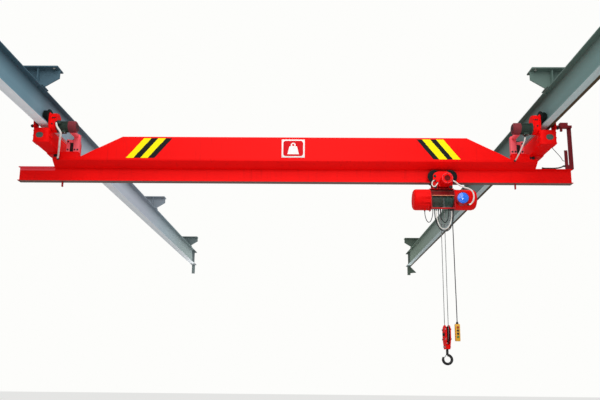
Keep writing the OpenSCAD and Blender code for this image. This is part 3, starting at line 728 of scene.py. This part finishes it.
cases, motors, posts = [], [], []
for s in MIRRORED:
    outwards = (s, 0, 0)
    for height in (MOTOR_Z, CASE_Z):
        lid = [(3074, 0), (3074, 66), (3076, 68), (3086, 68), (3086, 74), (3088, 76), (3138, 76), (3140, 74),
               (3140, 0)]
        cases.append(turned(lid, at(0, MOTOR_Y, height), outwards, 48))
    cases.append(side_slab(s, (3074, MOTOR_Y - 68, MOTOR_Z), (3086, MOTOR_Y + 68, CASE_Z), 0))
    cases.append(side_slab(s, (3086, MOTOR_Y - 76, MOTOR_Z), (3140, MOTOR_Y + 76, CASE_Z), 0))
    cases.append(side_slab(s, (3140, MOTOR_Y - 70, MOTOR_Z - 50), (3150, MOTOR_Y + 60, CASE_Z + 20), 0))
    motors.append(turned([(2826, 0), (2826, 58), (2829, 61), (2835, 62), (2837, 71), (2841, 75), (2922, 75),
                          (2924, 73), (2924, 65), (3058, 65), (3058, 75), (3060, 77), (3072, 77), (3074, 75),
                          (3074, 0)], at(0, MOTOR_Y, MOTOR_Z), outwards, 48))
    motors.append(cooling_ribs(at(0, MOTOR_Y, MOTOR_Z), outwards, 2924, 3060, 67.5))
    motors.append(side_slab(s, (2912, MOTOR_Y + 50, MOTOR_Z - 30), (3038, MOTOR_Y + 79, MOTOR_Z + 30), 2))
    motors.append(side_slab(s, (2964, -466, -99.1), (3034, -406, MOTOR_Z - 58), 3))
    posts.append(side_slab(s, (2911, -128, -237), (2985, -68, 12), 2))
    posts.append(side_slab(s, (3038, -128, -237), (3080, -68, -60), 2))
    posts.append(side_slab(s, (2985, -110, -100), (3038, -80, -60), 1))
    posts.append(side_slab(s, (2922, -351, -32), (2982, -128, 8), 2))
motors.append(side_slab(-1, (3002, -544, -14), (3042, -490, 32), 3))
for pieces, name, material, slot, node in (
        (cases, "gear_case_castings", red_enamel, "red_paint", "gear_cases"),
        (motors, "ribbed_travel_motors", motor_enamel, "motor_paint", "travel_motors"),
        (posts, "motor_posts", primer_pink, "stand_paint", "motor_stands")):
    made = finish_piece(gather(pieces), name, material, "bridge", 30)
    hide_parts(node)
    print(name, len(made.data.polygons), "faces")

# %% [markdown]
# The trolley's motor is of the same kind, smaller and red. Its ribs stand on the painted body, a dark disc
# with rings closes the opening in its fan cowl as painted shade, and a paler ring on the cowl's rim is a
# painted highlight. Two blackened blocks fill the ends of the saddles, between the upper and the lower plate,
# and a blackened sheet closes the gap between the two posts of each motor: both are painted shade for the
# dark gaps there.

# %% Trolley motor ribs and saddle blocks
TROLLEY_MOTOR = on_trolley(11, 0, -630)
trolley_ribs = cooling_ribs(TROLLEY_MOTOR, FRONT, 128, 252, 67, 24, 8, 3.2)
finish_piece(trolley_ribs, "trolley_motor_ribs", red_enamel, "trolley", 30)
# Painted shade: a dark disc with raised rings fills the fan cowl's opening
rings = [(277.5, 0), (280, 0), (280, 6)]
for radius in (10, 20, 30):
    rings += [(280, radius), (284, radius + 1), (284, radius + 3), (280, radius + 4)]
rings += [(280, 39.5), (277.5, 39.5)]
trolley_grille = turned(rings, TROLLEY_MOTOR, FRONT, 36)
finish_piece(trolley_grille, "trolley_fan_grille", shaded_red_enamel, "trolley")
# Painted highlight: a paler ring on the fan cowl's rim
rim = turned([(289.5, 61), (290.6, 62), (290.6, 69), (289.5, 70)], TROLLEY_MOTOR, FRONT, 48)
finish_piece(rim, "trolley_cowl_rim", highlight_red_enamel, "trolley")
# Painted shade: blackened blocks and sheets fill the dark gaps in the saddles and between the posts
shade_blocks = [side_slab(s, low, high, 2) for s, low, high in
          ((-1, (3197, -118, -309), (3249, -92, -268)), (1, (3142, -118, -309), (3226, -92, -272)))]
shade_blocks += [side_slab(s, (2985, -106, -235), (3038, -98, -101), 1) for s in MIRRORED]
finish_piece(gather(shade_blocks), "saddle_shade_blocks", black_bolt, "bridge", 30)
print("ribs", len(trolley_ribs.data.polygons))

# %% [markdown]
# ## Fasteners
#
# The crane is bolted together with hexagon bolts on round washers. One master bolt is made for each
# size, with its seat at the origin, and copied to every place with its own direction. The shapes are
# small and many, so a head has six sides and a washer sixteen.

# %% Bolt heads and washers
def bolt(size):
    """A hexagon head on a washer for a bolt of so many millimetres."""
    head, washer = 0.63 * size / 1000, 0.16 * size / 1000
    bpy.ops.mesh.primitive_cylinder_add(vertices=16, radius=size / 1000, depth=washer,
                                        location=(0, 0, washer / 2))
    ring = bpy.context.active_object
    bpy.ops.mesh.primitive_cylinder_add(vertices=6, radius=0.866 * size / 1000, depth=head,
                                        location=(0, 0, washer + head / 2))
    return settle(gather([bpy.context.active_object, ring]))


def bolts(name, size, places, material, body):
    """One piece with a bolt head at every (place, axis)."""
    piece = copies(bolt(size), places)
    return finish_piece(piece, name, material, body, 30)


HALF = 3250
HANGERS = (-690, 4950, 8900)
hanger_bolts = [(at(s * HALF + x, y + dy, 644), DOWN)
                for s in MIRRORED for y in HANGERS for x in (-200, 200) for dy in (-50, 50)]
bolts("ceiling_bolts", 20, hanger_bolts, zinc_plate, "runway")
clamp_bolts = [(at(s * HALF + x, y + dy, z), axis) for s in MIRRORED for y in HANGERS for x in (-45, 45)
               for dy in (-62, 62) for z, axis in ((412, UP), (383.5, DOWN))]
bolts("hanger_foot_bolts", 16, clamp_bolts, runway_enamel, "runway")
stop_bolts = [(at(s * HALF + x, y, z), (0, turn, 0)) for s in MIRRORED for x in (-28, 28)
              for z in (-40, -120, -200) for y, turn in ((9766, 1), (-2116, -1))]
bolts("stop_plate_bolts", 16, stop_bolts, runway_enamel, "runway")
print("runway bolts", len(hanger_bolts) + len(clamp_bolts) + len(stop_bolts))

# %% [markdown]
# On the bridge, bolts hold the wheel plates to the carriage boxes, the saddles to the girder and the
# carriages, the gear cases' lids and the motor stands. Heads face whoever fits them.

# %% Bridge bolts
plate_bolts = [(at(s * HALF + out * 100, turn * 480 - turn * shift, z), (out, 0, 0))
               for s in MIRRORED for out in MIRRORED for turn in MIRRORED
               for shift in (-20, 50) for z in (-232, -160, -92)]
bolts("wheel_plate_bolts", 12, plate_bolts, red_enamel, "bridge")
saddle_bolts = [(at(s * (HALF + x), y, z), axis) for s in MIRRORED for y in (-106, 106)
                for x, z, axis in ((-75, -310, UP), (-25, -310, UP),
                                   (-70, -264, DOWN), (60, -264, DOWN))]
bolts("saddle_bolts", 16, saddle_bolts, red_enamel, "bridge")
lid_bolts = []
for s in MIRRORED:
    for height, start, count in ((-12.1, 180, 5), (91.9, 0, 5)):
        for k in range(count):
            turn = math.radians(start + 180 * k / (count - 1))
            round_the_lid = at(s * 3086, MOTOR_Y + 72 * math.cos(turn), height + 72 * math.sin(turn))
            lid_bolts.append((round_the_lid, (-s, 0, 0)))
bolts("gear_lid_bolts", 6, lid_bolts, black_bolt, "bridge")
case_bolts = [(at(s * x, -506, z), FRONT) for s in MIRRORED
              for x, z in ((3126, -2), (3126, 82), (3102, 82))]
bolts("gear_case_plugs", 10, case_bolts, black_bolt, "bridge")
stand_bolts = [(at(s * 3012, y, -237), UP) for s in MIRRORED for y in (-118, -80)]
stand_bolts += [(at(s * x, -128, z), FRONT) for s in MIRRORED for x, z in
                ((2926, -205), (2966, -205), (3059, -205), (3059, -90))]
bolts("stand_bolts", 12, stand_bolts, black_bolt, "bridge")
knobs = [(at(s * 3358, turn * 536, -46), (s, 0, 0)) for s in MIRRORED for turn in MIRRORED]
bolts("plate_end_nuts", 22, knobs, black_bolt, "bridge")
print("bridge bolts", sum(map(len, (plate_bolts, saddle_bolts, lid_bolts, case_bolts, stand_bolts))))

# %% [markdown]
# The travel motors' back ends have a pressed grille over the fan: concentric wires on eight spokes.
# The two covers under and behind each motor are die castings, and the one underneath has a screw in each
# corner.

# %% Fan grilles and cover screws
grille = []
for s in MIRRORED:
    face = at(s * 2826, MOTOR_Y, -12.1)
    for radius in (16, 28, 40, 52):
        bpy.ops.mesh.primitive_torus_add(major_segments=32, minor_segments=6, major_radius=radius / 1000,
                                         minor_radius=0.0018, location=face, rotation=(0, math.pi / 2, 0))
        grille.append(bpy.context.active_object)
    for k in range(4):
        bpy.ops.mesh.primitive_cylinder_add(vertices=6, radius=0.0022, depth=0.112, location=face,
                                            rotation=(k * math.pi / 4, 0, 0))
        grille.append(bpy.context.active_object)
finish_piece(gather(grille), "fan_grilles", black_bolt, "bridge")
cover_screws = [(at(s * x, MOTOR_Y + y, -99.1), DOWN)
                for s in MIRRORED for x in (2972, 3026) for y in (-28, 16)]
bolts("terminal_cover_screws", 5, cover_screws, zinc_plate, "bridge")
print("grille parts", len(grille))

# %% [markdown]
# ## Trolley
#
# Four nuts hold the plates on the axles, two more pairs on the cross rods that carry the hoist. The motor's
# end cap is screwed on.

# %% Trolley nuts and screws
RODS, AXLES = [(-101, -690), (101, -690)], [(-106, -535), (106, -535)]
rod_nuts = [(on_trolley(x, turn * 82, z), (0, turn, 0)) for x, z in RODS for turn in MIRRORED]
bolts("rod_nuts", 24, rod_nuts, black_bolt, "trolley")
axle_nuts = [(on_trolley(x, turn * 82, z), (0, turn, 0)) for x, z in AXLES for turn in MIRRORED]
bolts("axle_nuts", 18, axle_nuts, black_bolt, "trolley")
cap_screws = [(on_trolley(11 + 57 * math.cos(a), -290, -630 + 57 * math.sin(a)), FRONT)
              for a in (math.tau * (k + 0.5) / 6 for k in range(6))]
bolts("motor_cap_screws", 6, cap_screws, black_bolt, "trolley")
print("trolley fasteners", len(rod_nuts) + len(axle_nuts) + len(cap_screws))

# %% [markdown]
# ## Hoist
#
# The drum is cast and its groove is turned as a screw, ten millimetres a turn. The rope lies in the
# groove from the drum's left end to its middle, where it leaves at the front. Both belong to the drum,
# so they turn with it.

# %% Drum with its wound rope
HOIST_Z, DRUM_R, ROPE_R, LAY = -842, 93, 4.5, 10
grooves = [(-160, DRUM_R)]
for x in range(-148, 113, LAY):
    grooves += [(x, DRUM_R), (x + LAY / 2, DRUM_R - 2)]
grooves += [(122, DRUM_R), (127, DRUM_R)]
drum_parts = [turned(grooves, on_trolley(0, 0, HOIST_Z), (1, 0, 0), 56)]
for first in (-160, 119):
    profile = [(first, DRUM_R - 4), (first, DRUM_R + 15), (first + 1, DRUM_R + 16), (first + 7, DRUM_R + 16),
               (first + 8, DRUM_R + 15), (first + 8, DRUM_R - 4)]
    drum_parts.append(turned(profile, on_trolley(0, 0, HOIST_Z), (1, 0, 0), 56))
for first, last in ((-174, -159), (126, 141)):
    profile = [(first, 0), (first, 23), (first + 1, 24), (last, 24), (last, 0)]
    drum_parts.append(turned(profile, on_trolley(0, 0, HOIST_Z), (1, 0, 0), 40))
for side in (-160, 127):
    drum_parts.append(turned([(side, 22), (side, DRUM_R)], on_trolley(0, 0, HOIST_Z), (1, 0, 0), 56))
drum = finish_piece(gather(drum_parts), "grooved_drum", drum_iron, "drum")
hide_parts("rope_drum")

turns, steps = 14, 28
coil = []
for k in range(turns * steps + 1):
    angle = math.tau * k / steps
    coil.append(on_trolley(-150 + LAY * k / steps, -(DRUM_R + ROPE_R) * math.cos(angle),
                           HOIST_Z + (DRUM_R + ROPE_R) * math.sin(angle)))
wound_rope, _ = tube("wound_rope", coil, ROPE_R, greased_wire, "drum", 1)
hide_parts("rope_drum")
print("drum turns", turns)

# %% [markdown]
# Rolled covers meet the end plates in bolted flanges. The long cover has a welded lip, the drum's cover ends
# in a folded edge painted pale as a highlight, and the housing on the right has two seams.

# %% Seams, lips and flange bolts
seams = []
for first, width, radius in ((-186, 8, 143.5), (-352, 3, 141.8), (166, 4, 139.5), (240, 3, 138),
                             (386, 3, 138)):
    last = first + width
    profile = [(first, radius - 4), (first, radius - 0.6), (first + 0.6, radius), (last - 0.6, radius),
               (last, radius - 0.6), (last, radius - 4)]
    seams.append(turned(profile, on_trolley(0, 0, HOIST_Z), (1, 0, 0), 64))
finish_piece(gather(seams), "hoist_seams", red_enamel, "trolley")
# Painted highlight: the drum cover's folded edge is painted pale
edge_low, edge_high = on_trolley(-166, -136, -822), on_trolley(133, -121, -815)
folded_edge = slab(edge_low, edge_high, 1.5)
finish_piece(folded_edge, "drum_cover_edge", rubbed_primer, "trolley")
flange_bolts = [(on_trolley(x, 131 * math.cos(a), HOIST_Z + 131 * math.sin(a)), (turn, 0, 0))
                for x, turn in ((-166, 1), (133, -1)) for a in (math.tau * (k + 0.5) / 12 for k in range(12))]
bolts("flange_bolts", 8, flange_bolts, black_bolt, "trolley")
ring_bolts = [(on_trolley(234 + 80 * math.cos(a), -165, -864 + 80 * math.sin(a)), FRONT)
              for a in (math.tau * k / 8 for k in range(8))]
bolts("cap_ring_bolts", 6, ring_bolts, black_bolt, "trolley")
guide_bolts = [(on_trolley(x, y, -963), DOWN) for x in (-30, 0, 30) for y in (-12, 12)]
bolts("rope_guide_bolts", 6, guide_bolts, zinc_plate, "trolley")
lug_bolts = [(on_trolley(x, y, -704), UP) for x in (-45, 45) for y in (-58, 58)]
bolts("top_plate_bolts", 10, lug_bolts, black_bolt, "trolley")
print("hoist fasteners", len(flange_bolts) + len(ring_bolts) + len(guide_bolts) + len(lug_bolts))

# %% [markdown]
# ## Rope, hook block and push button box
#
# Wire rope is six strands laid round a core. A six lobed outline is screwed upwards with one turn in 60 mm,
# which gives each fall its lay.

# %% Rope falls
ROPE_L, ROPE_TURN, BLOCK_Z, LIFT = 1798, 60, -2640, 1300


def rope_fall(y):
    lobes = []
    for k in range(18):
        radius = ROPE_R - 0.9 * (k % 3 == 0)
        turn = math.tau * k / 18
        lobes.append((radius / 1000 * math.cos(turn), radius / 1000 * math.sin(turn), 0))
    mesh = bpy.data.meshes.new("rope_fall")
    mesh.from_pydata(lobes, [(k, (k + 1) % 18) for k in range(18)], [])
    piece = new_object("rope_fall", mesh)
    lay = piece.modifiers.new("lay", "SCREW")
    lay.axis = "Z"
    lay.angle = math.tau
    lay.iterations = round(ROPE_L / ROPE_TURN)
    lay.screw_offset = ROPE_L / lay.iterations / 1000
    lay.steps = lay.render_steps = 12
    lay.use_normal_calculate = True
    pick_only(piece)
    bpy.ops.object.modifier_apply(modifier="lay")
    piece.location = on_trolley(0, y, BLOCK_Z)
    return settle(piece)


falls = finish_piece(gather([rope_fall(-98), rope_fall(98)]), "rope_falls_laid", rope_wire, "trolley",
                     50)
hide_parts("rope_falls")
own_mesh(falls)
bend = [on_trolley(0, 98 * math.cos(angle), BLOCK_Z - 98 * math.sin(angle))
        for angle in (math.pi * k / 24 for k in range(25))]
rope_bend, _ = tube("rope_round_pulley", bend, ROPE_R, rope_wire, "hook", 2)
print("rope faces", len(falls.data.polygons))

# %% [markdown]
# The pulley is cast with a deep V groove and a thin web between rim and hub, so that it is light to
# turn.

# %% Pulley
pulley = turned([(-14, 15), (-14, 28), (-13, 30), (-7, 31), (-7, 82), (-13, 84), (-14, 86), (-14, 103),
                 (-13, 104), (-9, 104), (-5, 95), (-4, 93.4), (4, 93.4), (5, 95), (9, 104), (13, 104),
                 (14, 103), (14, 86), (13, 84), (7, 82), (7, 31), (13, 30), (14, 28), (14, 15), (-14, 15)],
                on_trolley(0, 0, BLOCK_Z), (1, 0, 0), 56)
# The pulley shares the wheels' iron, darkened as painted shade
finish_piece(pulley, "grooved_pulley", shaded_wheel_iron, body_of_node["block_sheave"], 30)
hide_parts("block_sheave")
print("pulley faces", len(pulley.data.polygons))

# %% [markdown]
# The hook block's cheeks are held by through bolts, with a keeper on the pulley's axle. A sprung latch
# closes the hook's mouth.

# %% Block bolts and latch
cheek_bolts = [(on_trolley(turn * 30, y, BLOCK_Z + z), (turn, 0, 0)) for turn in MIRRORED
               for y, z in ((-88, 62), (88, 62), (-88, -62), (88, -62), (-32, -160), (32, -160))]
bolts("cheek_bolts", 12, cheek_bolts, zinc_plate, "hook")
axle_heads = [(on_trolley(turn * 30, 0, BLOCK_Z), (turn, 0, 0)) for turn in MIRRORED]
bolts("pulley_axle_nuts", 26, axle_heads, black_bolt, "hook")
latch = slab((-0.006, -0.0012, -0.034), (0.006, 0.0012, 0.034), 0.6)
latch.matrix_world = Matrix.Translation(on_trolley(-32, 0, -2924)) @ Matrix.Rotation(math.radians(38), 4, "Y")
finish_piece(latch, "hook_latch", zinc_plate, "hook")
print("block bolts", len(cheek_bolts))

# %% [markdown]
# The push button box is moulded in two halves that meet along its sides. Round corners and a bezel
# round each button tell a moulding from a plain block.

# %% Push button box
STATION = (122, -70, -2480)


def in_station(x, y, z):
    return on_trolley(STATION[0] + x, STATION[1] + y, STATION[2] + z)


shell = slab(in_station(-31, -25, -249), in_station(31, 25, -31), 9)
seam = slab(in_station(-32, -1.5, -250), in_station(32, 1.5, -30), 0.6)
neck = turned([(-32, 0), (-32, 17), (-20, 16), (-2, 9), (0, 8), (0, 0)], in_station(0, 0, 0), (0, 0, 1), 32)
station = finish_piece(gather([shell, seam]), "push_button_box", yellow_abs, "trolley")
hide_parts("pendant_station")
finish_piece(neck, "push_button_neck", gland_rubber, "trolley")
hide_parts("pendant_station")
bezel_ring = [(25, 13.5), (25, 15), (28, 14.5), (28.6, 12.5), (25, 12)]
bezel = [turned(bezel_ring, in_station(0, 0, z), FRONT, 32)
         for z in (-75, -115, -155, -195)]
bezels = finish_piece(gather(bezel), "button_bezels", black_button, "trolley")
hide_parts("pendant_station")
for name, z, material in (("stop_button", -75, red_button), ("up_button", -115, black_button),
                          ("down_button", -155, black_button), ("travel_button", -195, green_button)):
    button = turned([(25, 0), (25, 10.5), (31, 10.5), (33, 9.5), (34, 7), (34.4, 0)], in_station(0, 0, z),
                    FRONT, 24)
    finish_piece(button, name, material, "trolley")
    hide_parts("pendant_station")
print("button box at", in_station(0, 0, 0))

# %% [markdown]
# ## Rating plate
#
# The plate is white enamelled aluminium with a red field. Instead of lettering it shows the plain sign
# for a load, a weight with a ring, and it has a rivet in each corner.

# %% Rating plate
def cut_plate(points, front, depth):
    """A flat shape in the X-Z plane, given in millimetres of the drawing, so deep towards the back."""
    mesh = bpy.data.meshes.new("cut_plate")
    mesh.from_pydata([at(x, front, z) for x, z in points], [], [list(range(len(points)))])
    piece = new_object("cut_plate", mesh)
    edit_all(piece)
    bpy.ops.mesh.extrude_region_move(TRANSFORM_OT_translate={"value": (0, depth / 1000, 0)})
    bpy.ops.mesh.select_all(action="SELECT")
    bpy.ops.mesh.normals_make_consistent(inside=False)
    bpy.ops.object.mode_set(mode="OBJECT")
    return piece


def round_corners(left, right, low, high, radius, steps=6):
    points = []
    for cx, cz, start in ((right - radius, low + radius, -90), (right - radius, high - radius, 0),
                          (left + radius, high - radius, 90), (left + radius, low + radius, 180)):
        for k in range(steps + 1):
            turn = math.radians(start + 90 * k / steps)
            points.append((cx + radius * math.cos(turn), cz + radius * math.sin(turn)))
    return points


PLATE_X, PLATE_Z = -10, -180
field = cut_plate(round_corners(-143, 123, -288, -72, 34), -145.2, 1.4)
finish_piece(field, "plate_red_field", red_plate, "bridge")
weight = cut_plate([(PLATE_X - 78, PLATE_Z - 82), (PLATE_X + 78, PLATE_Z - 82), (PLATE_X + 50, PLATE_Z + 30),
                    (PLATE_X - 50, PLATE_Z + 30)], -146, 1.2)
bpy.ops.mesh.primitive_torus_add(major_segments=36, minor_segments=8, major_radius=0.024, minor_radius=0.0085,
                                 location=at(PLATE_X, -145.4, PLATE_Z + 48), rotation=(math.pi / 2, 0, 0))
ring = bpy.context.active_object
ring.scale.z = 0.08
settle(ring)
finish_piece(gather([weight, ring]), "plate_weight_sign", white_plate, "bridge")
rivets = [(at(x, -144, z), FRONT) for x in (-155, 135) for z in (-298, -63)]
bolts("plate_rivets", 5, rivets, zinc_plate, "bridge")
print("plate rivets", len(rivets))

# %% [markdown]
# A rubber plug closes the hole in each end wall of the carriage boxes. It sits a little inside the wall.

# %% Carriage plugs
plugs = [cut_plate(round_corners(s * 3269 - 47, s * 3269 + 47, -193, -119, 36), y, 4)
         for s in MIRRORED for y in (-517, 513)]
finish_piece(gather(plugs), "carriage_plugs", plug_rubber, "bridge")
print("plugs", len(plugs))

# %% [markdown]
# ## Strain reliefs
#
# Where a cable leaves a housing, a moulded rubber sleeve stops it from kinking: wide and flanged at
# the housing, tapered and ribbed towards the cable.

# %% Strain reliefs
def relief(root, toward, size, length=34):
    """A tapered ribbed sleeve, its wide end at the root, for a cable of so many millimetres."""
    r = size / 2
    profile = [(0, r * 0.9), (0, r + 6), (3, r + 6), (4, r + 3.5)]
    for k in range(1, 6):
        at_rib = 4 + (length - 6) * k / 6
        taper = r + 3.4 - 2.4 * k / 6
        profile += [(at_rib - 1.6, taper), (at_rib - 0.8, taper - 1.1), (at_rib + 0.8, taper - 1.1),
                    (at_rib + 1.6, taper)]
    profile += [(length, r + 0.9), (length, r * 0.9)]
    return turned(profile, root, toward, 20)


sleeves = {"trolley": [], "bridge": []}
reliefs = [(route, size, "trolley") for _, route, size, *_ in HANGING]
reliefs += [(MOTOR_LEAD, 16, "trolley"), (HOIST_LEAD, 20, "trolley"), (LEFT_LEAD, 24, "bridge"),
            (RIGHT_LEAD, 18, "bridge"), (BEAM_LEAD, 18, "bridge")]
for route, size, body in reliefs:
    start = on_trolley if body == "trolley" else at
    # The button box has its own neck at the pendant cable's lower end
    for first, second in ((0, 1),) if route is PENDANT else ((0, 1), (-1, -2)):
        root, following = start(*route[first]), start(*route[second])
        sleeves[body].append(relief(root, following - root, size, 24 if size < 13 else 30))
for body, pieces in sleeves.items():
    finish_piece(gather(pieces), body + "_strain_reliefs", gland_rubber, body)
print("strain reliefs", sum(len(p) for p in sleeves.values()))

# %% [markdown]
# ## Light and floor
#
# Plain studio light, soft from all sides. A white world lights everything evenly, a large soft lamp
# above and before the girder shapes its folded underside, and a weak one fills from below. A small
# one beside the camera puts the glint on the glossy cap. The one at the far end only brightens:
# mirrored in the carriages' inner sides it would bleach them. The camera sees the world and the
# floor as white.

# %% World, lamps and floor
world = bpy.data.worlds.new("bright_studio")
bpy.context.scene.world = world
world.use_nodes = True
tree = world.node_tree
tree.nodes.clear()
rays = add(tree, "LightPath")
seen = add(tree, "Math", {"operation": "MAXIMUM"}, _0=rays.outputs["Is Camera Ray"],
           _1=rays.outputs["Is Transmission Ray"])
pale = add(tree, "Background", Color="#fdfdfb", Strength=1.0)
studio = add(tree, "Background", Color="#f6f8ff", Strength=0.38)
sky = add(tree, "MixShader", _0=seen, _1=studio, _2=pale)
add(tree, "OutputWorld", Surface=sky)

for name, place, target, size, power in (
        ("upper_lamp", (0, -4500, 3200), (0, 0, -300), 7.0, 380.0),
        ("floor_bounce_lamp", (0, -3500, -4400), (0, 0, -500), 6.0, 20.0),
        ("far_lamp", (0, 9000, 1500), (0, 4000, -300), 7.0, 260.0),
        ("camera_side_lamp", (2900, -6200, -600), (2230, -200, -860), 0.5, 30.0)):
    lamp_data = bpy.data.lights.new(name, "AREA")
    lamp_data.shape = "SQUARE"
    lamp_data.size = size
    lamp_data.energy = power
    lamp = bpy.data.objects.new(name, lamp_data)
    lamp.visible_glossy = name != "far_lamp"
    bpy.context.scene.collection.objects.link(lamp)
    aim = (at(*target) - at(*place)).to_track_quat("-Z", "Y").to_matrix().to_4x4()
    lamp.matrix_world = Matrix.Translation(at(*place)) @ aim

bpy.ops.mesh.primitive_plane_add(size=60, location=at(0, 3000, -4740))
floor = bpy.context.active_object
floor.name = "pale_floor"
settle(floor)
concrete, tree, shader, place = new_material("pale_floor_screed", Roughness=0.8)
shader.inputs["Base Color"].default_value = srgb("#e9e9e6")
rays = add(tree, "LightPath")
glow = add(tree, "Emission", Color="#f4f4f2", Strength=1.0)
seen = add(tree, "Math", {"operation": "MULTIPLY"}, _0=rays.outputs["Is Camera Ray"], _1=0.8)
mixed = add(tree, "MixShader", _0=seen, _1=shader, _2=glow)
tree.links.new(mixed.outputs[0], tree.nodes["Material Output"].inputs["Surface"])
floor.data.materials.append(concrete)
bpy.context.scene.view_settings.view_transform = "Standard"

# %% [markdown]

# %% Last import
import json
